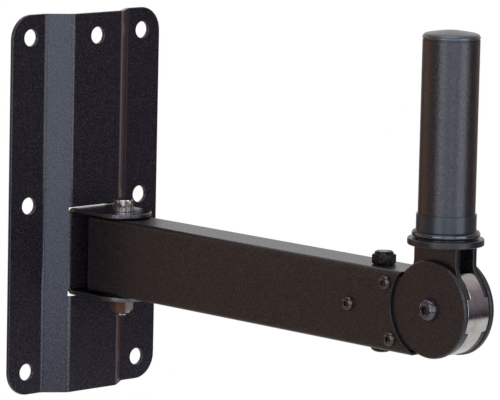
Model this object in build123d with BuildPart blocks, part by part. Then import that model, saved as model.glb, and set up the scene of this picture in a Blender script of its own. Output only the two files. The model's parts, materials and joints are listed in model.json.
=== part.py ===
from build123d import *
import math
import os

os.makedirs("parts", exist_ok=True)

# Frame, in millimetres: the origin is on the wall, in the middle of the wall bolt pattern.
# X points away from the wall, Y runs across the wall plate and Z points up.

# Wall plate, one sheet folded to a shallow hat
plate_width = 128.0
plate_height = 250.0
plate_sheet = 2.5
plate_corner_radius = 16.0
panel_rise = 10.5
panel_bend_spread = 41.8
flange_bend_spread = 70.4
plate_bend_radius = 3.0
wall_hole_diameter = 11.0
wall_hole_spread_across = 97.0
wall_hole_spread_up = 220.0

# Slots in the raised panel for the ears of the hinge bracket
slot_width = 44.0
slot_ear_gap = 0.9
slot_rise = 0.1

# Hinge bracket, one sheet folded to a U behind the panel
ear_sheet = 3.0
ear_width = 37.0
ear_bend_radius = 2.0
swivel_reach = 40.5

# Arm, a rectangular tube that hangs a little below the middle of the plate
arm_height = 50.0
arm_width = 30.0
arm_wall = 2.0
arm_corner_radius = 2.5
arm_inner_corner_radius = 0.8
arm_drop = 31.4
arm_length = 290.0
arm_tail = 17.0
arm_end_gap = 0.8
arm_toe_cut = 13.0

# Swivel parts between the ears
sleeve_diameter = 12.0
washer_diameter = 24.0
washer_thickness = 0.7
washer_play = 0.05

# Head, with its tilt axis a little above the middle of the arm
head_lift = 5.0
cheek_diameter = 60.0
cheek_sheet = 3.5
cheek_outer_chamfer = 0.9
cheek_inner_chamfer = 0.6
tongue_arm_gap = 1.0
tongue_length = 78.0
tongue_corner_radius = 2.5
cheek_fork_gap = 0.3

# Screws that hold the cheeks: two near the rim of the disc and one further back
cheek_screw_rim_distance = 7.5
cheek_screw_arm_edge = 8.0
rear_screw_distance = 66.7

# Block and bolt that hold the tube and the cheeks apart
clamp_distance = 51.5
block_length = 24.0

# Fork and drum that tilt between the cheeks
fork_sheet = 3.2
fork_lobe_diameter = 58.4
fork_neck_width = 35.0
fork_neck_fillet = 12.0
drum_diameter = 58.0
drum_flat_height = 23.4
lug_root_radius = 21.0
lug_top_angle = 19.0
lug_bottom_angle = -24.0
lug_gap = 0.1
neck_block_front = 8.0

# Spigot that carries the loudspeaker, heights from the tilt axis
ring_bottom = 38.7
ring_thickness = 4.1
ring_diameter = 46.6
ring_edge_fillet = 0.8
bead_thickness = 4.0
bead_diameter = 41.6
bush_step = 0.6
bush_step_diameter = 38.0
collar_height = 10.0
collar_diameter = 36.6
collar_slit = 1.2
collar_slit_angle = 40.0
bush_gap = 0.05
spigot_diameter = 34.8
spigot_wall = 2.5
spigot_top = 162.8
spigot_foot_cut = 0.2
spigot_foot_rise = 0.3
cap_lip = 3.2
cap_lip_diameter = 35.0
cap_dome = 2.6
cap_edge_radius = 1.2
cap_plug_length = 14.0
cap_plug_wall = 1.8
cap_plug_gap = 0.1

# M8 hardware
bolt_diameter = 8.0
bolt_hole_gap = 0.2
running_gap = 0.08
bolt_end = 1.5
nut_across_flats = 13.0
nut_height = 8.0
tall_nut_height = 9.5
nut_collar_height = 2.2
nut_collar_diameter = 11.8
nut_corner_cut = 0.7
swivel_nut_turn = 15.0
clamp_nut_turn = 51.0
nut_thread_gap = 0.05
cap_head_diameter = 13.0
cap_head_height = 8.0
cap_head_edge = 0.6
cap_socket_width = 6.0
cap_socket_depth = 4.0
button_diameter = 14.4
button_height = 4.4
button_flat_diameter = 7.4
button_rim = 0.5
button_bulge = 0.9
button_socket_width = 5.0
button_socket_depth = 2.6

# M5 button screws
small_screw_diameter = 5.0
small_screw_gap = 0.05
small_hole_gap = 0.15
small_button_diameter = 9.2
small_button_height = 2.75
small_button_flat_diameter = 4.6
small_button_rim = 0.35
small_button_bulge = 0.5
small_socket_width = 3.0
small_socket_depth = 1.6

# Places worked out from the sizes above
panel_back = panel_rise
arm_z = -arm_drop
ear_inner = arm_height / 2 + washer_thickness + washer_play
ear_outer = ear_inner + ear_sheet
head_x = swivel_reach + arm_length
head_z = arm_z + head_lift
cheek_outer = arm_width / 2 - arm_wall
cheek_inner = cheek_outer - cheek_sheet
tongue_height = arm_height - 2 * (arm_wall + tongue_arm_gap)
fork_outer = cheek_inner - cheek_fork_gap
drum_width = 2 * (fork_outer - fork_sheet)
bolt_radius = bolt_diameter / 2
bolt_hole_radius = bolt_radius + bolt_hole_gap
running_radius = bolt_radius + running_gap
clamp_x = head_x - clamp_distance
ring_top = ring_bottom + ring_thickness
spigot_radius = spigot_diameter / 2
spigot_foot_radius = spigot_radius - spigot_foot_cut
bead_bottom = ring_top + bush_step
bead_top = bead_bottom + bead_thickness
bush_top = bead_top + collar_height


def head_plane(y):
    """Upright plane at the tilt axis, at the given place across the arm, facing -Y."""
    return Plane(origin=(head_x, y, head_z), x_dir=(1, 0, 0), z_dir=(0, -1, 0))


def level(z):
    """Level plane about the spigot's axis, z above the tilt axis."""
    return Plane(origin=(head_x, 0, head_z + z))


def on_ring(distance, angle):
    """Point in a head plane at a distance and an angle about the tilt axis."""
    turn = math.radians(angle)
    return (distance * math.cos(turn), distance * math.sin(turn))


def button_screw(head, socket, shank):
    """Dome-headed socket screw, with its head above the XY plane and its shank below.

    The head is given by its diameter, height, flat, rim and bulge, the socket by its width and depth,
    and the shank by its diameter and length.
    """
    diameter, height, flat, rim, bulge = head
    with BuildPart() as screw:
        with BuildSketch(Plane.XZ):
            with BuildLine():
                side = Polyline((0, 0), (diameter / 2, 0), (diameter / 2, rim))
                dome = SagittaArc(side @ 1, (flat / 2, height), -bulge)
                Polyline(dome @ 1, (0, height), (0, 0))
            make_face()
        revolve(axis=Axis.Z)
        with BuildSketch(Plane.XY):
            Circle(shank[0] / 2)
        extrude(amount=-shank[1])
        with BuildSketch(Plane.XY.offset(height)):
            RegularPolygon(radius=socket[0] / 2, side_count=6, major_radius=False)
        extrude(amount=-socket[1], mode=Mode.SUBTRACT)
    return screw.part


def cap_screw(length):
    """Cylinder-headed socket bolt, with its head above the XY plane and its shank below."""
    with BuildPart() as screw:
        with BuildSketch(Plane.XY):
            Circle(cap_head_diameter / 2)
        extrude(amount=cap_head_height)
        fillet(screw.edges().group_by(Axis.Z)[-1], cap_head_edge)
        with BuildSketch(Plane.XY):
            Circle(bolt_radius)
        extrude(amount=-length)
        chamfer(screw.edges().group_by(Axis.Z)[0], cap_head_edge)
        with BuildSketch(Plane.XY.offset(cap_head_height)):
            RegularPolygon(radius=cap_socket_width / 2, side_count=6, major_radius=False)
        extrude(amount=-cap_socket_depth, mode=Mode.SUBTRACT)
    return screw.part


def lock_nut(turn, height):
    """Self-locking nut on the XY plane, with its round collar on top, turned by an angle."""
    corner_radius = nut_across_flats / math.sqrt(3)
    hex_height = height - nut_collar_height
    with BuildPart() as nut:
        with BuildSketch(Plane.XY):
            RegularPolygon(radius=nut_across_flats / 2, side_count=6, major_radius=False, rotation=turn)
        extrude(amount=height)
        with BuildSketch(Plane.XZ):
            with BuildLine():
                foot = Polyline(
                    (0, 0),
                    (corner_radius - 2 * nut_corner_cut, 0),
                    (corner_radius, nut_corner_cut),
                )
                side = Line(foot @ 1, (corner_radius, hex_height - nut_corner_cut))
                shoulder = Line(side @ 1, (nut_collar_diameter / 2, hex_height + nut_corner_cut))
                collar = Line(shoulder @ 1, (nut_collar_diameter / 2, height - 2 * nut_corner_cut))
                crown = TangentArc(
                    collar @ 1,
                    (nut_collar_diameter / 2 - 2 * nut_corner_cut, height),
                    tangent=(0, 1),
                )
                Polyline(crown @ 1, (0, height), (0, 0))
            make_face()
        revolve(axis=Axis.Z, mode=Mode.INTERSECT)
        with BuildSketch(Plane.XY):
            Circle(bolt_radius + nut_thread_gap)
        extrude(amount=height, mode=Mode.SUBTRACT)
    return nut.part


def placed(part, place):
    """Copy of a part moved from the XY plane to another plane or location."""
    return place * part


# Wall plate: folded section, rounded outline, seven wall holes and two slots
half_rise = plate_sheet / 2
with BuildPart() as wall_plate:
    with BuildSketch(Plane.XY):
        with BuildLine():
            FilletPolyline(
                (half_rise, -plate_width / 2),
                (half_rise, -flange_bend_spread / 2),
                (half_rise + panel_rise, -panel_bend_spread / 2),
                (half_rise + panel_rise, panel_bend_spread / 2),
                (half_rise, flange_bend_spread / 2),
                (half_rise, plate_width / 2),
                radius=plate_bend_radius,
            )
            offset(amount=plate_sheet / 2, side=Side.BOTH)
        make_face()
    extrude(amount=plate_height / 2, both=True)
    with BuildSketch(Plane.YZ):
        RectangleRounded(plate_width, plate_height, plate_corner_radius)
    extrude(amount=panel_rise + 2 * plate_sheet, mode=Mode.INTERSECT)
    with BuildSketch(Plane.YZ):
        with GridLocations(wall_hole_spread_across, wall_hole_spread_up / 2, 2, 3):
            Circle(wall_hole_diameter / 2)
        with Locations((0, wall_hole_spread_up / 2)):
            Circle(wall_hole_diameter / 2)
        with Locations((0, arm_z)):
            with GridLocations(0, ear_inner + ear_outer, 1, 2):
                with Locations((0, slot_rise)):
                    Rectangle(slot_width, ear_sheet + 2 * slot_ear_gap)
    extrude(amount=panel_rise + 2 * plate_sheet, mode=Mode.SUBTRACT)

# Hinge bracket: a U whose web lies behind the panel and whose rounded ears come out of the slots
web_middle = panel_back - ear_sheet / 2
ear_tip = swivel_reach + ear_width / 2
ear_middle = ear_inner + ear_sheet / 2
with BuildPart() as hinge_bracket:
    with BuildSketch(Plane.XZ):
        with BuildLine():
            FilletPolyline(
                (ear_tip, arm_z + ear_middle),
                (web_middle, arm_z + ear_middle),
                (web_middle, arm_z - ear_middle),
                (ear_tip, arm_z - ear_middle),
                radius=ear_bend_radius,
            )
            offset(amount=ear_sheet / 2, side=Side.BOTH)
        make_face()
    extrude(amount=ear_width / 2, both=True)
    with BuildSketch(Plane.XY.offset(arm_z)):
        with Locations((swivel_reach, 0)):
            Circle(ear_width / 2)
        with Locations((swivel_reach / 2, 0)):
            Rectangle(swivel_reach, ear_width)
    extrude(amount=ear_outer, both=True, mode=Mode.INTERSECT)
    with BuildSketch(Plane.XY.offset(arm_z)):
        with Locations((swivel_reach, 0)):
            Circle(bolt_hole_radius)
    extrude(amount=ear_outer, both=True, mode=Mode.SUBTRACT)

# Swivel bolt, its lock nut below, the sleeve inside the arm and a thin washer above and below it
swivel_bolt_length = 2 * ear_outer + tall_nut_height + bolt_end
swivel_bolt = placed(
    cap_screw(swivel_bolt_length),
    Plane(origin=(swivel_reach, 0, arm_z + ear_outer)),
)
swivel_nut = placed(
    lock_nut(swivel_nut_turn, tall_nut_height),
    Plane(origin=(swivel_reach, 0, arm_z - ear_outer), x_dir=(1, 0, 0), z_dir=(0, 0, -1)),
)
with BuildPart() as swivel_sleeve:
    with BuildSketch(Plane.XY.offset(arm_z)):
        with Locations((swivel_reach, 0)):
            Circle(sleeve_diameter / 2)
            Circle(running_radius, mode=Mode.SUBTRACT)
    extrude(amount=arm_height / 2, both=True)
with BuildPart() as upper_washer:
    with BuildSketch(Plane.XY.offset(arm_z + arm_height / 2)):
        with Locations((swivel_reach, 0)):
            Circle(washer_diameter / 2)
            Circle(bolt_hole_radius, mode=Mode.SUBTRACT)
    extrude(amount=washer_thickness)
with BuildPart() as lower_washer:
    with BuildSketch(Plane.XY.offset(arm_z - arm_height / 2)):
        with Locations((swivel_reach, 0)):
            Circle(washer_diameter / 2)
            Circle(bolt_hole_radius, mode=Mode.SUBTRACT)
    extrude(amount=-washer_thickness)

# Arm tube: its outer end is cut round the cheeks, with the thin toe below them cut off
cheek_screw_ring_radius = cheek_diameter / 2 + cheek_screw_rim_distance
cheek_screw_points = [(-rear_screw_distance, -head_lift)]
for side in (1, -1):
    screw_height = side * (arm_height / 2 - cheek_screw_arm_edge) - head_lift
    screw_back = math.sqrt(cheek_screw_ring_radius**2 - screw_height**2)
    cheek_screw_points.append((-screw_back, screw_height))
with BuildPart() as arm_tube:
    with BuildSketch(Plane.YZ.offset(swivel_reach - arm_tail)):
        with Locations((0, arm_z)):
            RectangleRounded(arm_width, arm_height, arm_corner_radius)
            RectangleRounded(
                arm_width - 2 * arm_wall,
                arm_height - 2 * arm_wall,
                arm_inner_corner_radius,
                mode=Mode.SUBTRACT,
            )
    extrude(amount=arm_tail + arm_length - arm_toe_cut)
    with BuildSketch(head_plane(0)):
        Circle(cheek_diameter / 2 + arm_end_gap)
        with Locations(cheek_screw_points):
            Circle(small_screw_diameter / 2 + small_hole_gap)
    extrude(amount=arm_width, both=True, mode=Mode.SUBTRACT)
    with BuildSketch(Plane.XY.offset(arm_z)):
        with Locations((swivel_reach, 0)):
            Circle(sleeve_diameter / 2)
        with Locations((clamp_x, 0)):
            Circle(bolt_hole_radius)
    extrude(amount=arm_height, both=True, mode=Mode.SUBTRACT)


def cheek(outer_y, inner_y):
    """Cheek plate: a chamfered disc about the tilt axis and a tongue that lies inside the arm."""
    with BuildPart() as plate:
        with BuildSketch(head_plane(outer_y)):
            Circle(cheek_diameter / 2)
        extrude(amount=outer_y - inner_y)
        outer_rim = plate.edges().sort_by(Axis.Y)[-1 if outer_y > 0 else 0]
        inner_rim = plate.edges().sort_by(Axis.Y)[0 if outer_y > 0 else -1]
        chamfer(outer_rim, cheek_outer_chamfer)
        chamfer(inner_rim, cheek_inner_chamfer)
        with BuildSketch(head_plane(outer_y)):
            with Locations((-tongue_length / 2, -head_lift)):
                RectangleRounded(tongue_length, tongue_height, tongue_corner_radius)
        extrude(amount=outer_y - inner_y)
        with BuildSketch(head_plane(outer_y)):
            Circle(bolt_hole_radius)
            with Locations(cheek_screw_points):
                Circle(small_screw_diameter / 2 + small_screw_gap)
        extrude(amount=outer_y - inner_y, mode=Mode.SUBTRACT)
    return plate.part


# Two cheeks against the inner faces of the arm, with three screws through each wall of the arm
cheek_left = cheek(-cheek_outer, -cheek_inner)
cheek_right = cheek(cheek_outer, cheek_inner)
small_head = (
    small_button_diameter,
    small_button_height,
    small_button_flat_diameter,
    small_button_rim,
    small_button_bulge,
)
small_screw = button_screw(
    small_head,
    (small_socket_width, small_socket_depth),
    (small_screw_diameter, arm_wall + cheek_sheet),
)
left_wall = head_plane(-arm_width / 2)
right_wall = Plane(origin=(head_x, arm_width / 2, head_z), x_dir=(1, 0, 0), z_dir=(0, 1, 0))
cheek_screws_left = Compound(
    children=[placed(small_screw, left_wall * Pos(x, z)) for x, z in cheek_screw_points]
)
cheek_screws_right = Compound(
    children=[placed(small_screw, right_wall * Pos(x, -z)) for x, z in cheek_screw_points]
)

# Spacer block between the cheeks, and the bolt and lock nut that clamp the arm on it
with BuildPart() as spacer_block:
    with BuildSketch(Plane.XY.offset(arm_z)):
        with Locations((clamp_x, 0)):
            Rectangle(block_length, 2 * cheek_inner)
            Circle(bolt_hole_radius, mode=Mode.SUBTRACT)
    extrude(amount=arm_height / 2 - arm_wall, both=True)
button_head = (button_diameter, button_height, button_flat_diameter, button_rim, button_bulge)
button_socket = (button_socket_width, button_socket_depth)
clamp_bolt = placed(
    button_screw(button_head, button_socket, (bolt_diameter, arm_height + nut_height)),
    Plane(origin=(clamp_x, 0, arm_z - arm_height / 2), x_dir=(1, 0, 0), z_dir=(0, 0, -1)),
)
clamp_nut = placed(lock_nut(clamp_nut_turn, nut_height), Plane(origin=(clamp_x, 0, arm_z + arm_height / 2)))

# Tilt screw through cheeks, fork and drum, with its lock nut on the right
tilt_screw = placed(
    button_screw(button_head, button_socket, (bolt_diameter, 2 * cheek_outer + nut_height)),
    head_plane(-cheek_outer),
)
tilt_nut = placed(
    lock_nut(clamp_nut_turn, nut_height),
    Plane(origin=(head_x, cheek_outer, head_z), x_dir=(1, 0, 0), z_dir=(0, 1, 0)),
)


def lug_sector(inner_radius, outer_radius, gap):
    """Sector about the tilt axis, between the lug's two flanks, each moved out by the gap."""
    reach = 2 * outer_radius
    with BuildSketch(Plane.XY) as sector:
        Circle(outer_radius)
        Circle(inner_radius - gap, mode=Mode.SUBTRACT)
        top = on_ring(reach, lug_top_angle)
        bottom = on_ring(reach, lug_bottom_angle)
        top_shift = on_ring(gap, lug_top_angle + 90)
        bottom_shift = on_ring(gap, lug_bottom_angle - 90)
        with BuildLine():
            Polyline(
                top_shift,
                (top[0] + top_shift[0], top[1] + top_shift[1]),
                (bottom[0] + bottom_shift[0], bottom[1] + bottom_shift[1]),
                bottom_shift,
                close=True,
            )
        make_face(mode=Mode.INTERSECT)
    return sector.sketch


def fork_plate(outer_y):
    """Fork plate: a round lobe about the tilt axis, a notch for the lug and a straight neck."""
    neck_side = fork_neck_width / 2
    neck_meets_lobe = math.sqrt((fork_lobe_diameter / 2) ** 2 - neck_side**2)
    with BuildPart() as plate:
        with BuildSketch(head_plane(outer_y)) as outline:
            Circle(fork_lobe_diameter / 2)
            with Locations((0, ring_bottom / 2)):
                Rectangle(fork_neck_width, ring_bottom)
            left_root = outline.vertices().sort_by_distance((-neck_side, neck_meets_lobe))[0]
            right_root = outline.vertices().sort_by_distance((neck_side, neck_meets_lobe))[0]
            fillet([left_root, right_root], fork_neck_fillet)
            add(lug_sector(lug_root_radius, fork_lobe_diameter, lug_gap), mode=Mode.SUBTRACT)
            Circle(running_radius, mode=Mode.SUBTRACT)
        extrude(amount=fork_sheet)
    return plate.part


# Fork: two plates, and the block between them that joins their necks
fork_plate_left = fork_plate(-drum_width / 2)
fork_plate_right = fork_plate(fork_outer)
with BuildPart() as neck_block:
    with BuildSketch(head_plane(drum_width / 2)):
        with Locations((neck_block_front, drum_flat_height)):
            Rectangle(
                fork_neck_width / 2 + neck_block_front,
                ring_bottom - drum_flat_height,
                align=(Align.MAX, Align.MIN),
            )
    extrude(amount=drum_width)

# Drum between the fork plates, with a flat under the neck block and a wide lug in both notches
with BuildPart() as tilt_drum:
    with BuildSketch(head_plane(drum_width / 2)):
        Circle(drum_diameter / 2)
        with Locations((0, drum_flat_height)):
            Rectangle(drum_diameter, drum_diameter, align=(Align.CENTER, Align.MIN), mode=Mode.SUBTRACT)
    extrude(amount=drum_width)
    with BuildSketch(head_plane(fork_outer)):
        add(lug_sector(lug_root_radius, drum_diameter / 2, 0))
    extrude(amount=2 * fork_outer)
    with BuildSketch(head_plane(fork_outer)):
        Circle(running_radius)
    extrude(amount=2 * fork_outer, mode=Mode.SUBTRACT)

# Base ring of the spigot, on top of the fork
with BuildPart() as base_ring:
    with BuildSketch(level(ring_bottom)):
        Circle(ring_diameter / 2)
    extrude(amount=ring_thickness)
    fillet(base_ring.edges().filter_by(GeomType.CIRCLE), ring_edge_fillet)
    with BuildSketch(level(ring_bottom)):
        Circle(spigot_foot_radius)
    extrude(amount=ring_thickness, mode=Mode.SUBTRACT)

# Spigot tube from the fork up to the cap, with its foot turned down for the ring and the bush
foot_top = bush_top + spigot_foot_rise
with BuildPart() as spigot_tube:
    with BuildSketch(level(ring_bottom)):
        Circle(spigot_foot_radius)
    extrude(amount=foot_top - ring_bottom)
    with BuildSketch(level(foot_top)):
        Circle(spigot_radius)
    extrude(amount=spigot_top - foot_top)
    with BuildSketch(level(ring_bottom)):
        Circle(spigot_radius - spigot_wall)
    extrude(amount=spigot_top - ring_bottom, mode=Mode.SUBTRACT)

# Bush round the foot of the spigot: a step, a rounded bead and a slit collar
bush_inner_radius = spigot_foot_radius + bush_gap
with BuildPart() as adapter_bush:
    with BuildSketch(head_plane(0)):
        with BuildLine():
            Polyline(
                (bush_inner_radius, ring_top),
                (bush_step_diameter / 2, ring_top),
                (bush_step_diameter / 2, bead_bottom),
                ((bead_diameter - bead_thickness) / 2, bead_bottom),
            )
            ThreePointArc(
                ((bead_diameter - bead_thickness) / 2, bead_bottom),
                (bead_diameter / 2, bead_bottom + bead_thickness / 2),
                ((bead_diameter - bead_thickness) / 2, bead_top),
            )
            Polyline(
                ((bead_diameter - bead_thickness) / 2, bead_top),
                (collar_diameter / 2, bead_top),
                (collar_diameter / 2, bush_top),
                (bush_inner_radius, bush_top),
                (bush_inner_radius, ring_top),
            )
        make_face()
    revolve(axis=Axis((head_x, 0, head_z), (0, 0, 1)))
    with BuildSketch(level(bead_top)):
        with Locations(Rot(0, 0, collar_slit_angle)):
            Rectangle(collar_diameter, collar_slit, align=(Align.MIN, Align.CENTER))
    extrude(amount=collar_height, mode=Mode.SUBTRACT)

# Cap that closes the spigot: a lip, a shallow dome and a hollow plug
cap_plug_radius = spigot_radius - spigot_wall - cap_plug_gap
cap_side_top = spigot_top + cap_lip
cap_apex = cap_side_top + cap_dome
with BuildPart() as spigot_cap:
    with BuildSketch(head_plane(0)):
        with BuildLine():
            under = Polyline(
                (0, spigot_top - cap_plug_wall),
                (cap_plug_radius - cap_plug_wall, spigot_top - cap_plug_wall),
                (cap_plug_radius - cap_plug_wall, spigot_top - cap_plug_length),
                (cap_plug_radius, spigot_top - cap_plug_length),
                (cap_plug_radius, spigot_top),
                (cap_lip_diameter / 2, spigot_top),
                (cap_lip_diameter / 2, cap_side_top - cap_edge_radius),
            )
            edge = TangentArc(
                under @ 1,
                (cap_lip_diameter / 2 - cap_edge_radius, cap_side_top),
                tangent=(0, 1),
            )
            TangentArc((0, cap_apex), edge @ 1, tangent=(1, 0))
            Line((0, cap_apex), under @ 0)
        make_face()
    revolve(axis=Axis((head_x, 0, head_z), (0, 0, 1)))

parts = {
    "wall_plate": wall_plate.part,
    "hinge_bracket": hinge_bracket.part,
    "swivel_bolt": swivel_bolt,
    "swivel_nut": swivel_nut,
    "swivel_sleeve": swivel_sleeve.part,
    "upper_washer": upper_washer.part,
    "lower_washer": lower_washer.part,
    "arm_tube": arm_tube.part,
    "cheek_left": cheek_left,
    "cheek_right": cheek_right,
    "cheek_screws_left": cheek_screws_left,
    "cheek_screws_right": cheek_screws_right,
    "spacer_block": spacer_block.part,
    "clamp_bolt": clamp_bolt,
    "clamp_nut": clamp_nut,
    "tilt_screw": tilt_screw,
    "tilt_nut": tilt_nut,
    "fork_plate_left": fork_plate_left,
    "fork_plate_right": fork_plate_right,
    "neck_block": neck_block.part,
    "tilt_drum": tilt_drum.part,
    "base_ring": base_ring.part,
    "spigot_tube": spigot_tube.part,
    "adapter_bush": adapter_bush.part,
    "spigot_cap": spigot_cap.part,
}
for name, part in parts.items():
    part.label = name
    export_step(part, f"parts/{name}.step")
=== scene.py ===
import json
import math

import bmesh
import bpy
from mathutils import Matrix, Vector

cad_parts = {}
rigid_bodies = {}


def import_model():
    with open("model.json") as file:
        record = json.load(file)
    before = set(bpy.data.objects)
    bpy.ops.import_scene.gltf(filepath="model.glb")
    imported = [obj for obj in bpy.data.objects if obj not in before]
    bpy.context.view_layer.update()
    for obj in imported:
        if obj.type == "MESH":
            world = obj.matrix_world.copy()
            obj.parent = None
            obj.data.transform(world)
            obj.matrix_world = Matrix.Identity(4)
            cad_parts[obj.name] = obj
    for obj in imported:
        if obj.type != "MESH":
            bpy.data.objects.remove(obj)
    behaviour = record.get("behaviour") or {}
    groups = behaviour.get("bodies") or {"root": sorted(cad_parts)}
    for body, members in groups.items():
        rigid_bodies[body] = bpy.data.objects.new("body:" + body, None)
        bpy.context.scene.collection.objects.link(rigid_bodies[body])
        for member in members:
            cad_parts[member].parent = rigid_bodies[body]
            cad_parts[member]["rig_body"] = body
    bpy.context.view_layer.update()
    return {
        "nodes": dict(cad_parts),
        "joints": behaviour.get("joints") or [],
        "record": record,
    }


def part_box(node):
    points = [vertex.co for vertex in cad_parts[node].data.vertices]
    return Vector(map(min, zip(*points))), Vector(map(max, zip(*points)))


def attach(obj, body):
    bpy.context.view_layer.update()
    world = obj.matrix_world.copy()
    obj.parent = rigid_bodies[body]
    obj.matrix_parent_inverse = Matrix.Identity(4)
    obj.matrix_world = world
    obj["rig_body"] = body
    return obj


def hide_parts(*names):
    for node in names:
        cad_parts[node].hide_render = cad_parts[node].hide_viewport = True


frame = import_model()
nodes = frame["nodes"]
mm = 0.001
white = (1.0, 1.0, 1.0)
print("frame loaded,", len(nodes), "nodes")


# Shader nodes that the studio and the materials share
def calculate(tree, operation, *values):
    # each value is a socket or a plain number
    node = tree.nodes.new("ShaderNodeMath")
    node.operation = operation
    for socket, value in zip(node.inputs, values):
        if isinstance(value, bpy.types.NodeSocket):
            tree.links.new(value, socket)
        else:
            socket.default_value = value
    return node.outputs[0]


def dot(tree, point, direction):
    node = tree.nodes.new("ShaderNodeVectorMath")
    node.operation = "DOT_PRODUCT"
    node.inputs[1].default_value = direction
    tree.links.new(point, node.inputs[0])
    return node.outputs["Value"]


def along(tree, point, axis):
    node = tree.nodes.new("ShaderNodeSeparateXYZ")
    tree.links.new(point, node.inputs["Vector"])
    return node.outputs[axis]


def span(tree, value, low, high, fromLow=0.3, fromHigh=0.7):
    node = tree.nodes.new("ShaderNodeMapRange")
    node.inputs["From Min"].default_value = fromLow
    node.inputs["From Max"].default_value = fromHigh
    node.inputs["To Min"].default_value = low
    node.inputs["To Max"].default_value = high
    tree.links.new(value, node.inputs["Value"])
    return node.outputs["Result"]


def tint(tree, value, colours, places):
    node = tree.nodes.new("ShaderNodeValToRGB")
    ramp = node.color_ramp
    while len(ramp.elements) < len(colours):
        ramp.elements.new(0.5)
    for element, place, colour in zip(ramp.elements, places, colours):
        element.position = place
        element.color = (*colour, 1.0)
    tree.links.new(value, node.inputs["Fac"])
    return node.outputs["Color"]


def blend(tree, factor, first, second, mode="MIX"):
    # the first colour is a socket or a plain colour, the second a plain colour
    node = tree.nodes.new("ShaderNodeMix")
    node.data_type = "RGBA"
    node.blend_type = mode
    tree.links.new(factor, node.inputs["Factor"])
    if isinstance(first, tuple):
        node.inputs["A"].default_value = (*first, 1.0)
    else:
        tree.links.new(first, node.inputs["A"])
    node.inputs["B"].default_value = (*second, 1.0)
    return node.outputs["Result"]


def wire(tree, shader, sources):
    for name, source in sources.items():
        tree.links.new(source, shader.inputs[name])


def outward(azimuthDegrees, elevationDegrees=0.0):
    # the direction from the bracket to a camera or a lamp
    azimuth, elevation = math.radians(azimuthDegrees), math.radians(elevationDegrees)
    return Vector((
        math.sin(azimuth) * math.cos(elevation),
        -math.cos(azimuth) * math.cos(elevation),
        math.sin(elevation),
    ))


photoCamera = {
    "azimuth": 46.113,
    "elevation": 8.243,
    "roll": 1.269,  # degrees clockwise in the picture
    "target": (0.159578, 0.0, 0.018765),
    "distance": 2.66002,
    "lens": 303.27,
    "sensor": 36.0,
    "clip": (0.05, 60.0),
}


def makeCamera(look):
    data = bpy.data.cameras.new("photoCamera")
    data.lens = look["lens"]
    data.sensor_width = look["sensor"]
    data.sensor_fit = "HORIZONTAL"
    data.clip_start, data.clip_end = look["clip"]
    azimuth, roll = math.radians(look["azimuth"]), math.radians(look["roll"])
    back = outward(look["azimuth"], look["elevation"])
    right = Vector((math.cos(azimuth), math.sin(azimuth), 0.0))
    up = back.cross(right)
    rolledRight = right * math.cos(roll) + up * math.sin(roll)
    rolledUp = up * math.cos(roll) - right * math.sin(roll)
    turn = Matrix((rolledRight, rolledUp, back)).transposed().to_4x4()
    place = Matrix.Translation(Vector(look["target"]) + back * look["distance"])
    camera = bpy.data.objects.new("photoCamera", data)
    bpy.context.scene.collection.objects.link(camera)
    camera.matrix_world = place @ turn
    bpy.context.scene.camera = camera


studioFloor = {
    "height": -0.6,
    "size": 3.1,
    "colour": (0.62, 0.62, 0.62),
    "glow": 0.85,  # keeps the floor white in the picture
    "gloss": 0.54,  # the floor's share that gloss sees
    "warm": (0.84, 0.63, 0.50),  # its tint in gloss on the warm card's side
    "warmTurn": -116.0,  # degrees from the camera to the middle of that side
    "warmFade": (-0.1, 0.4),  # metres along it where the tint begins and is full
}


def makeFloor(look):
    mesh = bpy.data.meshes.new("floor")
    builder = bmesh.new()
    bmesh.ops.create_grid(builder, x_segments=1, y_segments=1, size=look["size"] / 2)
    bmesh.ops.translate(builder, verts=builder.verts, vec=(0.0, 0.0, look["height"]))
    builder.to_mesh(mesh)
    builder.free()
    floor = bpy.data.objects.new("floor", mesh)
    bpy.context.scene.collection.objects.link(floor)
    material = bpy.data.materials.new("paleFloor")
    material.use_nodes = True
    tree = material.node_tree
    tree.nodes.clear()
    output = tree.nodes.new("ShaderNodeOutputMaterial")
    diffuse = tree.nodes.new("ShaderNodeBsdfDiffuse")
    glow = tree.nodes.new("ShaderNodeEmission")
    rays = tree.nodes.new("ShaderNodeLightPath").outputs
    place = tree.nodes.new("ShaderNodeTexCoord").outputs["Object"]
    left = dot(tree, place, outward(photoCamera["azimuth"] + look["warmTurn"]))
    warmth = span(tree, left, 0.0, 1.0, *look["warmFade"])
    inGloss = calculate(tree, "MULTIPLY", warmth, rays["Is Glossy Ray"])
    for shader, plain in ((diffuse, look["colour"]), (glow, white)):
        warm = tuple(a * b for a, b in zip(plain, look["warm"]))
        wire(tree, shader, {"Color": blend(tree, inGloss, plain, warm)})
    seen = calculate(tree, "MAXIMUM", rays["Is Camera Ray"], rays["Is Transmission Ray"])
    shown = calculate(tree, "MULTIPLY", seen, look["glow"])
    strength = calculate(tree, "MULTIPLY_ADD", rays["Is Glossy Ray"], look["gloss"], shown)
    wire(tree, glow, {"Strength": strength})
    both = tree.nodes.new("ShaderNodeAddShader")
    tree.links.new(diffuse.outputs[0], both.inputs[0])
    tree.links.new(glow.outputs[0], both.inputs[1])
    wire(tree, output, {"Surface": both.outputs[0]})
    mesh.materials.append(material)


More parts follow.
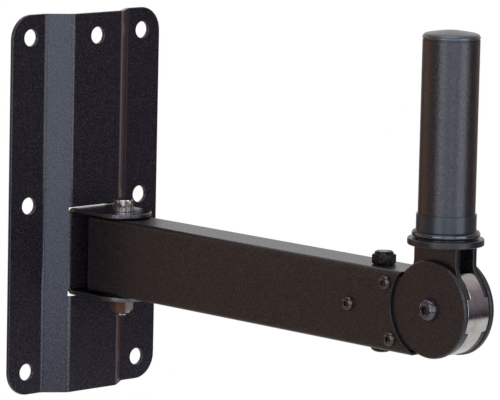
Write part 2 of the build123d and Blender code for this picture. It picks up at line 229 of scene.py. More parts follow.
studioRoom = {
    "fill": (1.0, 0.97, 0.94),
    "fillStrength": 0.30,
    "backdrop": (1.0, 1.0, 1.0),
    # what gloss sees, from behind the camera round to behind the bracket, and where
    "front": (0.52, 0.50, 0.52),
    "side": (0.30, 0.272, 0.318),
    "back": (0.80, 0.57, 0.49),
    "places": (0.0, 0.45, 0.55, 0.78),
    "backdropFade": (0.85, 0.965),
    "card": (2.12, 1.28, 0.92),  # a warm card to the left of the camera
    "cardTurn": -143.0,  # degrees from the camera to its middle
    "cardFade": (-0.10, 0.85),
    "cardTop": (0.30, 0.12),  # heights between which it fades out upwards
    "upper": (0.85, 0.82, 0.83),  # the paler upper part of the room
    "upperFade": (0.45, 0.68),
    "lower": 0.05,  # how bright the room is low down
    "lowerFade": (-0.26, 0.16),
}


def makeWorld(look):
    world = bpy.data.worlds.new("studioRoom")
    bpy.context.scene.world = world
    world.use_nodes = True
    tree = world.node_tree
    tree.nodes.clear()
    output = tree.nodes.new("ShaderNodeOutputWorld")
    rays = tree.nodes.new("ShaderNodeLightPath").outputs
    direction = tree.nodes.new("ShaderNodeTexCoord").outputs["Generated"]
    height = along(tree, direction, "Z")

    def background(colour, strength):
        node = tree.nodes.new("ShaderNodeBackground")
        node.inputs["Color"].default_value = (*colour, 1.0)
        node.inputs["Strength"].default_value = strength
        return node

    def mixed(factor, first, second):
        node = tree.nodes.new("ShaderNodeMixShader")
        tree.links.new(factor, node.inputs[0])
        tree.links.new(first, node.inputs[1])
        tree.links.new(second, node.inputs[2])
        return node.outputs[0]

    # gloss sees a dim room in front and the white backdrop behind the bracket
    away = dot(tree, direction, outward(photoCamera["azimuth"] + 180.0))
    depth = span(tree, away, 0.0, 1.0, -1.0, 1.0)
    room = tint(
        tree, depth, (look["front"], look["side"], look["side"], look["back"]), look["places"],
    )
    left = dot(tree, direction, outward(photoCamera["azimuth"] + look["cardTurn"]))
    card = calculate(
        tree, "MULTIPLY",
        span(tree, left, 0.0, 1.0, *look["cardFade"]),
        span(tree, height, 0.0, 1.0, *look["cardTop"]),
    )
    room = blend(tree, card, room, look["card"])
    behind = span(tree, depth, 0.0, 1.0, *look["backdropFade"])
    room = blend(tree, behind, room, look["backdrop"])
    above = span(tree, height, 0.0, 1.0, *look["upperFade"])
    room = blend(tree, above, room, look["upper"], "LIGHTEN")
    brightness = span(tree, height, look["lower"], 1.0, *look["lowerFade"])
    seenInGloss = background(white, 1.0)
    wire(tree, seenInGloss, {"Color": room, "Strength": brightness})

    fillLight = background(look["fill"], look["fillStrength"])
    backdrop = background(look["backdrop"], 1.0)
    lit = mixed(rays["Is Glossy Ray"], fillLight.outputs[0], seenInGloss.outputs[0])
    seen = calculate(tree, "MAXIMUM", rays["Is Camera Ray"], rays["Is Transmission Ray"])
    wire(tree, output, {"Surface": mixed(seen, lit, backdrop.outputs[0])})


softboxes = {
    # azimuth and elevation seen from the bracket, distance, width and height in metres,
    # watts, colour
    "keySoftbox": (19.0, 10.0, 2.0, 1.1, 1.7, 18.5, (0.97, 0.97, 1.0)),
    "frontSoftbox": (57.0, 8.0, 2.0, 1.2, 1.6, 14.0, (0.78, 0.89, 1.0)),
    "sideSoftbox": (97.0, 8.0, 2.0, 1.2, 1.7, 20.0, (0.96, 0.97, 1.0)),
    "topSoftbox": (45.0, 80.0, 1.8, 1.2, 1.2, 12.0, (1.0, 1.0, 1.0)),
}


def makeSoftbox(name, azimuth, elevation, distance, width, height, watts, colour):
    data = bpy.data.lights.new(name, "AREA")
    data.shape = "RECTANGLE"
    data.size = width
    data.size_y = height
    data.energy = watts
    data.color = colour
    out = outward(azimuth, elevation)
    lamp = bpy.data.objects.new(name, data)
    bpy.context.scene.collection.objects.link(lamp)
    lamp.location = Vector(photoCamera["target"]) + out * distance
    lamp.rotation_mode = "QUATERNION"
    lamp.rotation_quaternion = (-out).to_track_quat("-Z", "Y")
    lamp.visible_camera = False


makeCamera(photoCamera)
makeFloor(studioFloor)
makeWorld(studioRoom)
for name, settings in softboxes.items():
    makeSoftbox(name, *settings)
bpy.context.scene.view_settings.view_transform = "Standard"
print("camera and studio ready")


# Materials
def startMaterial(name):
    material = bpy.data.materials.new(name)
    material.use_nodes = True
    tree = material.node_tree
    tree.nodes.clear()
    output = tree.nodes.new("ShaderNodeOutputMaterial")
    shader = tree.nodes.new("ShaderNodeBsdfPrincipled")
    tree.links.new(shader.outputs["BSDF"], output.inputs["Surface"])
    return material, tree, shader


def objectPoint(tree, scale=(1.0, 1.0, 1.0), shift=(0.0, 0.0, 0.0)):
    coords = tree.nodes.new("ShaderNodeTexCoord")
    mapping = tree.nodes.new("ShaderNodeMapping")
    mapping.inputs["Scale"].default_value = scale
    mapping.inputs["Location"].default_value = shift
    tree.links.new(coords.outputs["Object"], mapping.inputs["Vector"])
    return mapping.outputs["Vector"]


def noise(tree, point, scale, detail=2.0, roughness=0.6):
    node = tree.nodes.new("ShaderNodeTexNoise")
    node.inputs["Scale"].default_value = scale
    node.inputs["Detail"].default_value = detail
    node.inputs["Roughness"].default_value = roughness
    tree.links.new(point, node.inputs["Vector"])
    return node.outputs["Fac"]


def roundedEdges(tree, radius, samples=6):
    node = tree.nodes.new("ShaderNodeBevel")
    node.samples = samples
    node.inputs["Radius"].default_value = radius
    return node.outputs["Normal"]


def bumped(tree, height, depth, strength, normal=None):
    node = tree.nodes.new("ShaderNodeBump")
    node.inputs["Strength"].default_value = strength
    node.inputs["Distance"].default_value = depth
    tree.links.new(height, node.inputs["Height"])
    if normal is not None:
        tree.links.new(normal, node.inputs["Normal"])
    return node.outputs["Normal"]


powderCoat = {
    "dark": (0.0010, 0.0008, 0.0012),
    "middle": (0.0056, 0.0046, 0.0044),
    "light": (0.0130, 0.0100, 0.0094),
    "places": (0.34, 0.50, 0.68),
    "roughness": (0.27, 0.37),
    "grain": 620.0,  # cells per metre
    "fineGrain": 1500.0,
    "specks": 1100.0,
    "grainDepth": 0.00022,
    "fineShare": 0.4,  # of that depth
    "bump": 0.6,
    "sheen": (0.38, 0.52),
    "warmGloss": (0.88, 0.86, 0.96),
    "coolGloss": (0.79, 0.86, 1.0),
    "glossPlaces": (0.36, 0.64),
    "glossShift": (3.1, 1.7, 2.3),
}
sandyCoat = {
    **powderCoat,
    "dark": (0.0024, 0.0016, 0.0034),
    "middle": (0.0088, 0.0062, 0.0108),
    "light": (0.0270, 0.0205, 0.0260),
    "roughness": (0.16, 0.23),
    "grainDepth": 0.00007,
    "sheen": (0.50, 0.64),
    "warmGloss": (0.94, 0.84, 0.95),
    "coolGloss": (0.70, 0.86, 1.0),
    # the painted highlight's colour along one fold
    "paintedHighlight": (0.100, 0.074, 0.080),
    # metres from the plate's middle where the painted highlight along the fold starts, peaks and
    # ends
    "foldHighlight": (0.0200, 0.0216, 0.0330),
    "highlightCover": (0.75, 1.0),
}
glossyCoat = {
    **powderCoat,
    "roughness": (0.22, 0.28),
    "sheen": (0.84, 1.10),
}
spigotCoat = {
    **powderCoat,
    "sheen": (0.54, 0.73),
}
# painted shade: a darker, duller copy of the coat for the bracket's upward faces, so that they
# stay dark
shadedTopCoat = {
    **powderCoat,
    "middle": (0.0046, 0.0038, 0.0052),
    "light": (0.0080, 0.0066, 0.0088),
    "roughness": (0.13, 0.19),
    "grainDepth": 0.00003,
    "sheen": (0.08, 0.16),
}


def foldHighlight(tree, look, point, cells, colour):
    # painted highlight: the paint is painted paler along one fold
    start, peak, end = look["foldHighlight"]
    across = along(tree, point, "Y")
    rise = span(tree, across, 0.0, 1.0, start, peak)
    fall = span(tree, across, 1.0, 0.0, peak, end)
    band = calculate(tree, "MULTIPLY", rise, fall)
    broken = calculate(tree, "MULTIPLY", band, span(tree, cells, *look["highlightCover"]))
    return blend(tree, broken, colour, look["paintedHighlight"])


def makePowderCoat(name, look):
    material, tree, shader = startMaterial(name)
    point = objectPoint(tree)
    cells = noise(tree, point, look["grain"], detail=3.0)
    fine = noise(tree, point, look["fineGrain"])
    specks = noise(tree, point, look["specks"])
    shifted = objectPoint(tree, shift=look["glossShift"])
    hues = noise(tree, shifted, look["specks"], detail=1.0, roughness=0.5)
    colour = tint(tree, specks, (look["dark"], look["middle"], look["light"]), look["places"])
    # a painted highlight along one fold
    if "paintedHighlight" in look:
        colour = foldHighlight(tree, look, point, cells, colour)
    skin = bumped(tree, cells, look["grainDepth"], look["bump"])
    skin = bumped(tree, fine, look["grainDepth"] * look["fineShare"], look["bump"], skin)
    wire(tree, shader, {
        "Base Color": colour,
        "Roughness": span(tree, cells, *look["roughness"]),
        "Normal": skin,
        "Specular IOR Level": span(tree, specks, *look["sheen"]),
        "Specular Tint": tint(
            tree, hues, (look["warmGloss"], look["coolGloss"]), look["glossPlaces"],
        ),
    })
    return material


blackOxide = {
    "dark": (0.0010, 0.0010, 0.0018),
    "light": (0.0080, 0.0066, 0.0062),
    "places": (0.35, 0.70),
    "roughness": (0.07, 0.20),
    "metallic": 0.0,
    "sheen": (0.01, 0.20),
    "grain": (1.0, 1.0, 1.0),
    "clouds": 300.0,  # per metre
    "scuffs": 1400.0,
    "scuffDepth": 0.000015,
    "bump": 0.4,
}
# painted highlights: the swivel bolt's black head is painted grey, with light streaks along its
# axis standing in for its highlights
highlightStreakedOxide = {
    **blackOxide,
    "dark": (0.080, 0.066, 0.062),
    "light": (0.640, 0.590, 0.580),
    "roughness": (0.05, 0.11),
    "metallic": 0.85,
    "sheen": (0.5, 0.5),
    "grain": (1.6, 1.6, 0.06),  # streaks along the bolt's axis
}
oliveOxide = {
    **blackOxide,
    "dark": (0.030, 0.026, 0.022),
    "light": (0.078, 0.070, 0.060),
    "roughness": (0.07, 0.14),
    "metallic": 0.85,
    "sheen": (0.5, 0.5),
}
blueOxide = {
    **oliveOxide,
    "dark": (0.050, 0.045, 0.052),
    "light": (0.085, 0.082, 0.098),
    "roughness": (0.09, 0.15),
}


def makeOxide(name, look):
    material, tree, shader = startMaterial(name)
    point = objectPoint(tree, look["grain"])
    clouds = noise(tree, point, look["clouds"], detail=3.0)
    scuffs = noise(tree, point, look["scuffs"])
    wire(tree, shader, {
        "Base Color": tint(tree, clouds, (look["dark"], look["light"]), look["places"]),
        "Roughness": span(tree, scuffs, *look["roughness"]),
        "Specular IOR Level": span(tree, clouds, *look["sheen"]),
        "Normal": bumped(tree, scuffs, look["scuffDepth"], look["bump"]),
    })
    shader.inputs["Metallic"].default_value = look["metallic"]
    return material


tintedSteel = {
    "brown": (0.064, 0.030, 0.0165),
    # the painted highlight's colour
    "bright": (0.215, 0.205, 0.185),
    "places": (0.05, 1.0),
    # the brown gives way to the painted highlight along this direction, the camera's right
    "across": (0.694, 0.720, 0.0),  # the direction in which the brown gives way
    "middle": 0.0035,  # where it does, in metres from the bolt's axis
    "blend": 0.0012,
    "clouds": 500.0,
    "cloudShare": 0.12,
    "roughness": (0.20, 0.30),
    # painted sheen, higher on the painted highlight's side
    "sheen": (0.12, 0.8),
}


def makeTintedSteel(name, look):
    # a plated brown nut whose right-hand side, as the camera sees it, is painted bright and
    # glossier: a painted highlight
    material, tree, shader = startMaterial(name)
    point = objectPoint(tree)
    clouds = noise(tree, point, look["clouds"], detail=3.0)
    across = dot(tree, point, look["across"])
    middle = look["middle"] + look["across"][0] * frame["joints"][0]["pos_m"][0]
    highlightSide = span(tree, across, 0.0, 1.0, middle - look["blend"], middle + look["blend"])
    paintedHighlight = calculate(tree, "MULTIPLY_ADD", clouds, look["cloudShare"], highlightSide)
    wire(tree, shader, {
        "Base Color": tint(tree, paintedHighlight, (look["brown"], look["bright"]), look["places"]),
        "Roughness": span(tree, clouds, *look["roughness"]),
        "Specular IOR Level": span(tree, highlightSide, *look["sheen"], 0.0, 1.0),
    })
    return material


groundSteel = {
    "dark": (0.305, 0.290, 0.282),
    "light": (0.455, 0.430, 0.415),
    "places": (0.3, 0.7),
    "roughness": (0.12, 0.22),
    "patches": 120.0,
    "lines": 2600.0,
    "stretch": (0.02, 1.0, 0.02),  # draws the lines out round the drum
    "lineDepth": 0.00002,
    "bump": 0.5,
}


def makeGroundSteel(name, look):
    material, tree, shader = startMaterial(name)
    stretched = objectPoint(tree, look["stretch"])
    lines = noise(tree, stretched, look["lines"], detail=3.0, roughness=0.7)
    patches = noise(tree, objectPoint(tree), look["patches"], detail=3.0)
    wire(tree, shader, {
        "Base Color": tint(tree, patches, (look["dark"], look["light"]), look["places"]),
        "Roughness": span(tree, lines, *look["roughness"]),
        "Normal": bumped(tree, lines, look["lineDepth"], look["bump"]),
    })
    shader.inputs["Metallic"].default_value = 1.0
    return material


zincPlate = {
    "dark": (0.42, 0.43, 0.45),
    "light": (0.60, 0.60, 0.61),
    "places": (0.3, 0.7),
    "roughness": (0.28, 0.42),
    "spangle": 260.0,
}


def makeZincPlate(name, look):
    material, tree, shader = startMaterial(name)
    spangle = noise(tree, objectPoint(tree), look["spangle"], detail=3.0)
    wire(tree, shader, {
        "Base Color": tint(tree, spangle, (look["dark"], look["light"]), look["places"]),
        "Roughness": span(tree, spangle, *look["roughness"]),
    })
    shader.inputs["Metallic"].default_value = 1.0
    return material


mouldedPlastic = {
    "dark": (0.006, 0.008, 0.011),
    "light": (0.011, 0.014, 0.019),
    "places": (0.3, 0.7),
    "roughness": (0.27, 0.35),
    "gloss": (0.82, 0.90, 1.0),
    "sheen": 0.55,
    "clouds": 60.0,
    "grain": 1500.0,
    "grainDepth": 0.00004,
    "bump": 0.5,
    "edgeRadius": 0.0004,
}
polishedPlastic = {
    **mouldedPlastic,
    "sheen": 0.95,
}
bushPlastic = {
    **mouldedPlastic,
    "gloss": (0.86, 0.92, 1.0),
    "sheen": 0.50,
    # the bead is smoother than the collar above it, with painted shade in the crease between,
    # where the sheen drops; lengths in mm
    "bead": {
        "height": 4.0,
        "smoothness": 0.50,
        "smoothFade": 0.5,
        "sheen": 0.95,
        "sheenFade": 0.6,
        "crease": 0.35,  # its middle above the bead
        "creaseShadeSheen": 0.05,
        "creaseFade": (0.1, 0.6),
    },
}


def shapeBead(tree, look, point, roughness):
    bead = look["bead"]
    height = along(tree, point, "Z")
    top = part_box("base_ring")[1].z + bead["height"] * mm
    smoother = span(
        tree, height, bead["smoothness"], 1.0, top, top + bead["smoothFade"] * mm,
    )
    # painted shade: the sheen drops in a thin band at the crease above the bead
    creaseMiddle = top + bead["crease"] * mm
    away = calculate(tree, "ABSOLUTE", calculate(tree, "SUBTRACT", height, creaseMiddle))
    near, far = bead["creaseFade"]
    creaseShade = span(tree, away, bead["creaseShadeSheen"], look["sheen"], near * mm, far * mm)
    glossier = span(
        tree, height, bead["sheen"] / look["sheen"], 1.0, top - bead["sheenFade"] * mm, top,
    )
    return (
        calculate(tree, "MULTIPLY", roughness, smoother),
        calculate(tree, "MULTIPLY", creaseShade, glossier),
    )


def makePlastic(name, look):
    material, tree, shader = startMaterial(name)
    point = objectPoint(tree)
    grain = noise(tree, point, look["grain"])
    clouds = noise(tree, point, look["clouds"], roughness=0.5)
    roughness = span(tree, grain, *look["roughness"])
    edges = roundedEdges(tree, look["edgeRadius"])
    shader.inputs["Specular IOR Level"].default_value = look["sheen"]
    shader.inputs["Specular Tint"].default_value = (*look["gloss"], 1.0)
    if "bead" in look:
        roughness, sheen = shapeBead(tree, look, point, roughness)
        wire(tree, shader, {"Specular IOR Level": sheen})
    wire(tree, shader, {
        "Base Color": tint(tree, clouds, (look["dark"], look["light"]), look["places"]),
        "Roughness": roughness,
        "Normal": bumped(tree, grain, look["grainDepth"], look["bump"], edges),
    })
    return material


finishes = {
    "powder_coat": makePowderCoat("blackPowderCoat", powderCoat),
    "black_oxide": makeOxide("oiledBlackOxide", blackOxide),
    "bare_steel": makeGroundSteel("groundSteel", groundSteel),
    "plated_steel": makeZincPlate("zincPlate", zincPlate),
    "black_plastic": makePlastic("blackPlastic", mouldedPlastic),
    "nylon": makePlastic("blackNylon", mouldedPlastic),
}
boltFinishes = {
    "tinted": makeTintedSteel("tintedSteel", tintedSteel),
    "grey": makeOxide("highlightStreakedOxide", highlightStreakedOxide),
    "olive": makeOxide("oliveOxide", oliveOxide),
    "blue": makeOxide("blueOxide", blueOxide),
}
coats = {
    "wall_plate": makePowderCoat("sandyPowderCoat", sandyCoat),
    "hinge_bracket": makePowderCoat("glossyPowderCoat", glossyCoat),
    "spigot_tube": makePowderCoat("spigotPowderCoat", spigotCoat),
}


def dress(obj, material):
    # every slot of the object takes the material
    if not obj.material_slots:
        obj.data.materials.append(material)
    for slot in obj.material_slots:
        slot.material = material


slotOf = {}
for subpart in frame["record"]["subparts"]:
    slotOf[subpart["node"]] = subpart["material_slot"]
    dress(nodes[subpart["node"]], finishes[subpart["material_slot"]])
dress(nodes["spigot_tube"], coats["spigot_tube"])
dress(nodes["adapter_bush"], makePlastic("bushPlastic", bushPlastic))
print("materials ready")


# Pieces that stand for a CAD node
def standFor(name, builder, nodeName, material=None, smoothAngle=32.0):
    mesh = bpy.data.meshes.new(name)
    builder.to_mesh(mesh)
    builder.free()
    for face in mesh.polygons:
        face.use_smooth = True
    mesh.set_sharp_from_angle(angle=math.radians(smoothAngle))
    mesh.materials.append(material or finishes[slotOf[nodeName]])
    piece = bpy.data.objects.new(name, mesh)
    bpy.context.scene.collection.objects.link(piece)
    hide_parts(nodeName)
    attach(piece, nodes[nodeName]["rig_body"])
    return piece


def paintUpward(piece, material, steepness):
    # faces that look up more than this take a second material
    piece.data.materials.append(material)
    for face in piece.data.polygons:
        if face.normal.z > steepness:
            face.material_index = 1


def cutAcross(builder, place):
    bmesh.ops.bisect_plane(
        builder, geom=[*builder.verts, *builder.edges, *builder.faces],
        plane_co=(0, place * mm, 0), plane_no=(0, 1, 0),
    )


slotSag = {
    # how far the upper slot's top edge hangs over the ear, in mm
    "left": 0.42,
    "right": 0.80,
    "from": 8.0,
    "to": 12.0,
    "edge": 1.0,  # that edge's height above the ear in the solid
    "reach": 0.15,  # how near to it a point is moved
    "margin": 0.1,
}


def closeSlot(builder, look):
    # the slot's top edge comes down close to the ear, most of all beside the bolt's head
    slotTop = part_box("hinge_bracket")[1].z + look["edge"] * mm
    right = (look["to"] - look["margin"]) * mm
    for place in (look["from"], look["to"]):
        cutAcross(builder, place)
    moved = 0
    for vert in builder.verts:
        if abs(vert.co.z - slotTop) < look["reach"] * mm:
            vert.co.z -= (look["right"] if vert.co.y > right else look["left"]) * mm
            moved += 1
    print("slot edge points moved:", moved)


plateBends = {
    "radius": 6.5,  # of the sheet's middle at each fold, in mm
    "panel": 20.9,  # half of the spread of the folds at the raised panel
    "flange": 35.2,
    "sheet": 2.5,
    "reach": 4.0,  # how far each fold's cuts run to both sides
    "cuts": 17,
}


def foldProfile(look, rise, y):
    # height of the sheet's middle and the angle it runs at, y mm from the plate's middle
    panel, flange, radius = look["panel"], look["flange"], look["radius"]
    slope = math.atan2(rise, flange - panel)
    tangent = radius * math.tan(slope / 2)
    if y < panel - tangent:
        return rise, 0.0
    if y < panel + tangent * math.cos(slope):
        turn = math.asin((y - panel + tangent) / radius)
        return rise - radius + radius * math.cos(turn), turn
    if y < flange - tangent * math.cos(slope):
        return (flange - y) * math.tan(slope), slope
    if y < flange + tangent:
        turn = math.asin((flange + tangent - y) / radius)
        return radius - radius * math.cos(turn), turn
    return 0.0, 0.0


def softenFolds(builder, look):
    # the sheet's folds are wider than a sharp press would leave them
    half = look["sheet"] / 2
    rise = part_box("wall_plate")[1].x / mm - look["sheet"]
    reach, cuts = look["reach"], look["cuts"]
    for middle in (look["panel"], look["flange"]):
        for step in range(cuts):
            for side in (-1, 1):
                cutAcross(builder, side * (middle - reach + 2 * reach * step / (cuts - 1)))
    for vert in builder.verts:
        y = abs(vert.co.y) / mm
        if min(abs(y - look["panel"]), abs(y - look["flange"])) < reach:
            height, turn = foldProfile(look, rise, y)
            middle = half + height
            away = half / math.cos(turn)
            vert.co.x = (middle + away if vert.co.x / mm > middle else middle - away) * mm


sheetEdges = {
    # node, name of the piece, radius of its edges in mm
    "wall_plate": ("foldedWallPlate", 0.5),
    "hinge_bracket": ("earBracket", 0.8),
    "arm_tube": ("armTube", 0.35),
    "cheek_left": ("leftCheek", 0.3),
    "cheek_right": ("rightCheek", 0.3),
    "fork_plate_left": ("leftForkPlate", 0.45),
    "fork_plate_right": ("rightForkPlate", 0.45),
    "neck_block": ("neckBlock", 0.4),
    "tilt_drum": ("tiltDrum", 0.35),
    "spacer_block": ("spacerBlock", 0.5),
}
sheetMesh = {
    "weld": 0.002,  # points nearer than this are one, in mm
    "flat": 0.8,  # faces that meet at less than this angle are one, in degrees
    "sharp": 34.0,  # edges that turn more than this are rounded
    "segments": 3,
}
earTopSteepness = 0.95


def roundSheet(nodeName, name, radius, look):
    builder = bmesh.new()
    builder.from_mesh(nodes[nodeName].data)
    bmesh.ops.remove_doubles(builder, verts=builder.verts, dist=look["weld"] * mm)
    bmesh.ops.dissolve_limit(
        builder,
        angle_limit=math.radians(look["flat"]),
        use_dissolve_boundaries=False,
        verts=builder.verts,
        edges=builder.edges,
        delimit=set(),
    )
    if nodeName == "wall_plate":
        closeSlot(builder, slotSag)
        softenFolds(builder, plateBends)
    piece = standFor(name, builder, nodeName, coats.get(nodeName))
    if nodeName == "hinge_bracket":
        # the ears' upward faces take the painted shade
        paintUpward(piece, makePowderCoat("shadedTopPowderCoat", shadedTopCoat), earTopSteepness)
    edges = piece.modifiers.new("roundedEdges", "BEVEL")
    edges.width = radius * mm
    edges.segments = look["segments"]
    edges.limit_method = "ANGLE"
    edges.angle_limit = math.radians(look["sharp"])
    edges.use_clamp_overlap = False
    edges.harden_normals = True


for nodeName, (name, radius) in sheetEdges.items():
    roundSheet(nodeName, name, radius, sheetMesh)
print("sheet pieces ready")


# Turned hardware: a fastener is a row of rings about its own Z axis, from foot to head.
# A ring is its kind, its radius and its height, in mm. A hexagon adds how its corners slope
# and from which radius, and a knurl adds its depth.
def hexReach(angle, apothem):
    # distance from the axis to the side of a hexagon in this direction
    return apothem / math.cos(angle % (math.pi / 3) - math.pi / 6)


def layRing(verts, ring, sides):
    kind, reach, height, *extra = ring
    for vert in verts:
        angle = math.atan2(vert.co.y, vert.co.x)
        radius = reach
        lift = height
        if kind == "hex":
            radius = hexReach(angle, reach)
            if extra:
                slope, start = extra
                lift = height + slope * (radius - start)
        if kind == "knurl" and round(angle * sides / (2 * math.pi)) % 2:
            radius = reach - extra[0]
        vert.co = (radius * math.cos(angle), radius * math.sin(angle), lift)


def turned(builder, rings, bore=False, sides=72):
    made = bmesh.ops.create_circle(
        builder, cap_ends=not bore, radius=1.0, segments=sides,
    )["verts"]
    first = [edge for edge in builder.edges if edge.verts[0] in made and edge.verts[1] in made]
    layRing(made, rings[0], sides)
    edges = first
    for ring in rings[1:]:
        grown = bmesh.ops.extrude_edge_only(builder, edges=edges)["geom"]
        verts = [part for part in grown if isinstance(part, bmesh.types.BMVert)]
        edges = [part for part in grown if isinstance(part, bmesh.types.BMEdge)
                 and part.verts[0] in verts and part.verts[1] in verts]
        layRing(verts, ring, sides)
    if bore:
        bmesh.ops.bridge_loops(builder, edges=first + edges)
    else:
        bmesh.ops.contextual_create(builder, geom=edges)


bigThread = {
    # M8, in mm
    "pitch": 1.25,
    "crest": 3.97,
    "root": 3.35,
    "profile": (0.12, 0.50, 0.62),  # ends of crest, flank and root, in pitches
    "overlap": 0.1,  # how far it runs into the shank
    "steps": 48,  # points round the axis
    "weld": 0.001,
    "spareTurns": 2,  # cut off again at each end
}


def addThread(builder, look, low, high):
    # one helical groove about the Z axis, cut square at both ends
    pitch, crest, root = look["pitch"], look["crest"], look["root"]
    steps, spare = look["steps"], look["spareTurns"]
    crestEnd, flankEnd, rootEnd = look["profile"]
    corners = ((0.0, crest), (crestEnd, crest), (flankEnd, root), (rootEnd, root))
    high += look["overlap"]
    thread = bmesh.new()
    row = []
    for turn in range(int((high - low) / pitch) + 2 * spare):
        for part, radius in corners:
            row.append(thread.verts.new((radius, 0.0, low + (turn - spare + part) * pitch)))
    line = [thread.edges.new(pair) for pair in zip(row, row[1:])]
    bmesh.ops.spin(
        thread, geom=row + line, cent=(0, 0, 0), axis=(0, 0, 1), dvec=(0, 0, pitch / steps),
        angle=2 * math.pi, steps=steps, use_merge=False,
    )
    bmesh.ops.remove_doubles(thread, verts=thread.verts, dist=look["weld"])
    for height, side in ((low, -1), (high, 1)):
        cut = bmesh.ops.bisect_plane(
            thread, geom=[*thread.verts, *thread.edges, *thread.faces],
            plane_co=(0, 0, height), plane_no=(0, 0, side), clear_outer=True,
        )["geom_cut"]
        rim = [part for part in cut if isinstance(part, bmesh.types.BMEdge)]
        bmesh.ops.holes_fill(thread, edges=rim)
    bmesh.ops.recalc_face_normals(thread, faces=thread.faces)
    addMesh(builder, thread, "thread")


def addMesh(builder, other, name):
    mesh = bpy.data.meshes.new(name)
    other.to_mesh(mesh)
    other.free()
    builder.from_mesh(mesh)
    bpy.data.meshes.remove(mesh)


def placeAt(builder, place, turn=0.0):
    # faces turned outward, then from mm about the Z axis to metres at the fastener's place
    spot, axis = place
    bmesh.ops.recalc_face_normals(builder, faces=builder.faces)
    facing = Vector(axis).to_track_quat("Z", "Y").to_matrix().to_4x4()
    spin = Matrix.Rotation(math.radians(turn), 4, "Z")
    bmesh.ops.transform(
        builder,
        matrix=Matrix.Translation(Vector(spot)) @ facing @ spin @ Matrix.Scale(mm, 4),
        verts=builder.verts,
    )


def boxMiddle(nodeName):
    low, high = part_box(nodeName)
    return (low + high) / 2, low, high


capBolt = {
    "radius": 6.5,
    "height": 8.0,
    "rim": 0.6,
    "socket": 3.0,  # half of the key's width
    "socketDepth": 4.0,
    "knurl": 0.16,  # its depth
    "shank": 4.0,
    "thread": 14.0,  # length of the threaded end
    "turn": 20.0,  # degrees
}
blackTopSteepness = 0.5


def capBoltRings(look, length):
    r, h, rim, socket = look["radius"], look["height"], look["rim"], look["socket"]
    shank, knurl = look["shank"], look["knurl"]
    floor = h - look["socketDepth"]
    return [
        ("round", shank, look["thread"] - length),
        ("round", shank, -0.4),
        ("round", shank + 0.3, 0.0),
        ("round", r - 0.25, 0.0),
        ("round", r, 0.25),
        ("round", r, 0.55),
        ("knurl", r, 0.6, knurl),
        ("knurl", r, h - 1.1, knurl),
        ("round", r - 0.05, h - 1.0),
        ("round", r - 0.08, h - rim),
        ("round", r - rim * 0.35, h - rim * 0.3),
        ("round", r - rim, h),
        ("round", socket * 1.25, h),
        ("hex", socket, h - 0.35),
        ("hex", socket, floor),
        ("round", socket * 0.5, floor - 0.5),
        ("round", 0.3, floor - 0.9),
    ]


# swivel bolt: its head on the upper ear, its thread out of the nut under the lower ear
middle, low, high = boxMiddle("swivel_bolt")
seat = high.z - capBolt["height"] * mm
length = (seat - low.z) / mm
builder = bmesh.new()
turned(builder, capBoltRings(capBolt, length))
addThread(builder, bigThread, -length, capBolt["thread"] - length)
placeAt(builder, ((middle.x, middle.y, seat), (0, 0, 1)), capBolt["turn"])
piece = standFor("swivelBolt", builder, "swivel_bolt", boltFinishes["grey"])
# the head's flank is painted grey with light streaks, painted highlights of the black head; its
# upward faces keep the black oxide
paintUpward(piece, finishes["black_oxide"], blackTopSteepness)

lockNut = {
    "apothem": 6.5,
    "face": 6.15,  # radius of the flat ring that the corners are turned down to
    "slope": math.tan(math.radians(30.0)),
    "collar": 5.9,
    "collarHeight": 1.5,
    "bore": 4.05,
    "mouth": 4.75,
    "ringDepth": 0.65,  # nylon ring below the top
    "turns": {"swivel_nut": 15.0, "clamp_nut": 51.0, "tilt_nut": 51.0},
}


def nutRings(look, h):
    apothem, face, slope = look["apothem"], look["face"], look["slope"]
    collar, bore, mouth = look["collar"], look["bore"], look["mouth"]
    hexTop = h - look["collarHeight"]
    return [
        ("round", bore, 0.3),
        ("round", bore + 0.3, 0.0),
        ("round", face, 0.0),
        ("hex", apothem, 0.0, slope, face),
        ("hex", apothem, hexTop, -slope, face),
        ("round", collar + 0.15, hexTop + 0.05),
        ("round", collar, hexTop + 0.25),
        ("round", collar, h - 1.0),
        ("round", collar - 0.12, h - 0.55),
        ("round", collar - 0.4, h - 0.18),
        ("round", collar - 0.75, h),
        ("round", mouth + 0.1, h),
        ("round", mouth, h - 0.12),
        ("round", mouth, h - 2.1),
        ("round", bore, h - 2.4),
    ]


def nylonRings(look, h):
    inner, outer, top = look["bore"] - 0.03, look["mouth"] - 0.02, h - look["ringDepth"]
    return [
        ("round", inner, h - 2.0),
        ("round", outer, h - 2.0),
        ("round", outer, top - 0.2),
        ("round", outer - 0.2, top),
        ("round", inner + 0.2, top),
        ("round", inner, top - 0.2),
    ]


def makeLockNut(name, nodeName, place, material=None):
    low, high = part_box(nodeName)
    height = max(abs(part) for part in ((high - low) * Vector(place[1]))) / mm
    builder = bmesh.new()
    turned(builder, nutRings(lockNut, height), bore=True)
    turned(builder, nylonRings(lockNut, height), bore=True)
    placeAt(builder, place, lockNut["turns"][nodeName])
    standFor(name, builder, nodeName, material)


middle, low, high = boxMiddle("swivel_nut")
makeLockNut("swivelNut", "swivel_nut", ((middle.x, 0, high.z), (0, 0, -1)), boltFinishes["tinted"])
middle, low, high = boxMiddle("clamp_nut")
makeLockNut("clampNut", "clamp_nut", ((middle.x, 0, low.z), (0, 0, 1)))
middle, low, high = boxMiddle("tilt_nut")
makeLockNut("tiltNut", "tilt_nut", ((middle.x, low.y, middle.z), (0, 1, 0)))

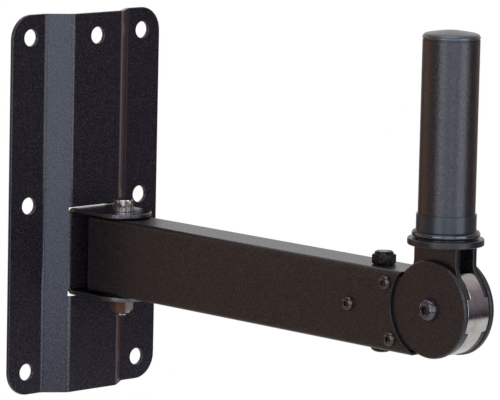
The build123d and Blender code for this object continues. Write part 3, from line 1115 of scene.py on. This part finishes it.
buttonScrew = {
    "radius": 7.2,
    "height": 4.4,
    "flat": 3.6,
    "rim": 0.5,
    "bulge": 0.95,
    "socket": 2.5,
    "socketDepth": 2.6,
    "shank": 4.0,
    "thread": 12.0,
    "turns": {"clamp_bolt": 10.0, "tilt_screw": 12.0},
}
smallScrew = {
    "radius": 4.6,
    "height": 2.75,
    "flat": 2.2,
    "rim": 0.35,
    "bulge": 0.6,
    "socket": 1.5,
    "socketDepth": 1.7,
    "shank": 2.5,
}


def domeRings(look, length, steps=9):
    r, h, flat, socket = look["radius"], look["height"], look["flat"], look["socket"]
    rim, shank = look["rim"], look["shank"]
    floor = h - look["socketDepth"]
    rings = [
        ("round", shank, -length),
        ("round", shank, -0.3),
        ("round", shank + 0.25, 0.0),
        ("round", r - 0.15, 0.0),
        ("round", r, 0.15),
        ("round", r, rim * 0.8),
        ("round", r - 0.04, rim),
    ]
    across, up = flat - r, h - rim
    chord = math.hypot(across, up)
    for step in range(1, steps):
        part = step / steps
        swell = look["bulge"] * 4 * part * (1 - part) / chord
        rings.append(("round", r + across * part + up * swell, rim + up * part - across * swell))
    rings += [
        ("round", flat, h),
        ("round", socket * 1.27, h),
        ("hex", socket, h - 0.12 * socket),
        ("hex", socket, floor),
        ("round", socket * 0.62, floor - 0.05 * socket),
        ("round", socket * 0.40, floor + 0.10 * socket),
        ("round", 0.15, floor + 0.18 * socket),
    ]
    return rings


def makeButtonBolt(name, nodeName, head, axis, length, material=None):
    # the dome-headed bolts run to the far side of their lock nuts
    plain = length - buttonScrew["thread"]
    builder = bmesh.new()
    turned(builder, domeRings(buttonScrew, plain))
    addThread(builder, bigThread, -length, -plain)
    placeAt(builder, (head, axis), buttonScrew["turns"][nodeName])
    standFor(name, builder, nodeName, material)


middle, low, high = boxMiddle("clamp_bolt")
seat = low.z + buttonScrew["height"] * mm
makeButtonBolt(
    "clampBolt", "clamp_bolt", (middle.x, 0, seat), (0, 0, -1), (high.z - seat) / mm,
)
middle, low, high = boxMiddle("tilt_screw")
seat = low.y + buttonScrew["height"] * mm
makeButtonBolt(
    "tiltScrew", "tilt_screw", (middle.x, seat, middle.z), (0, -1, 0), (high.y - seat) / mm,
    boltFinishes["blue"],
)

cheekScrewSpots = {
    # from the tilt axis, along the arm and up, in mm, and how each key socket happened to stop
    "rear": (-66.7, -5.0, 25.0),
    "upper": (-35.53, 12.0, 8.0),
    "lower": (-30.37, -22.0, 41.0),
}


def makeCheekScrews(name, nodeName, side):
    low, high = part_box(nodeName)
    tiltX, _, tiltZ = frame["joints"][1]["pos_m"]
    length = (high.y - low.y) / mm - smallScrew["height"]
    seat = (high.y if side > 0 else low.y) - side * smallScrew["height"] * mm
    whole = bmesh.new()
    for x, z, turn in cheekScrewSpots.values():
        screw = bmesh.new()
        turned(screw, domeRings(smallScrew, length), sides=60)
        placeAt(screw, ((tiltX + x * mm, seat, tiltZ + z * mm), (0, side, 0)), turn)
        addMesh(whole, screw, "screw")
    standFor(name, whole, nodeName, boltFinishes["olive"])


makeCheekScrews("leftCheekScrews", "cheek_screws_left", -1)
makeCheekScrews("rightCheekScrews", "cheek_screws_right", 1)

spigotCap = {
    # heights in mm above the tube's rim
    "plug": 14.0,
    "plugRadius": 14.4,
    "groove": 0.7,
    "grooveDepth": 0.95,
    "face": 3.9,
    "sides": 96,
    "smoothAngle": 50.0,
}


def capRings(look, r, top):
    groove, face = look["groove"], look["face"]
    plugRadius, neck = look["plugRadius"], r - look["grooveDepth"]
    dome = top - face
    return [
        ("round", plugRadius, -look["plug"]),
        ("round", plugRadius + 0.2, 0.02),
        ("round", neck, 0.03),
        ("round", neck, groove),
        ("round", r - 0.35, groove + 0.04),
        ("round", r - 0.06, groove + 0.2),
        ("round", r, groove + 0.45),
        ("round", r - 0.08, groove + 1.0),
        ("round", r - 0.26, groove + 1.6),
        ("round", r - 0.55, groove + 2.15),
        ("round", r - 1.0, groove + 2.6),
        ("round", r - 1.7, face - 0.28),
        ("round", r - 2.6, face),
        ("round", r * 0.63, face + dome * 0.35),
        ("round", r * 0.36, face + dome * 0.73),
        ("round", r * 0.10, face + dome),
    ]


middle, low, high = boxMiddle("spigot_cap")
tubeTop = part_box("spigot_tube")[1].z
rings = capRings(spigotCap, (high.x - low.x) / mm / 2, (high.z - tubeTop) / mm)
builder = bmesh.new()
turned(builder, rings, sides=spigotCap["sides"])
placeAt(builder, ((middle.x, middle.y, tubeTop), (0, 0, 1)))
standFor(
    "spigotCap", builder, "spigot_cap", makePlastic("polishedPlastic", polishedPlastic),
    smoothAngle=spigotCap["smoothAngle"],
)
print("hardware ready")
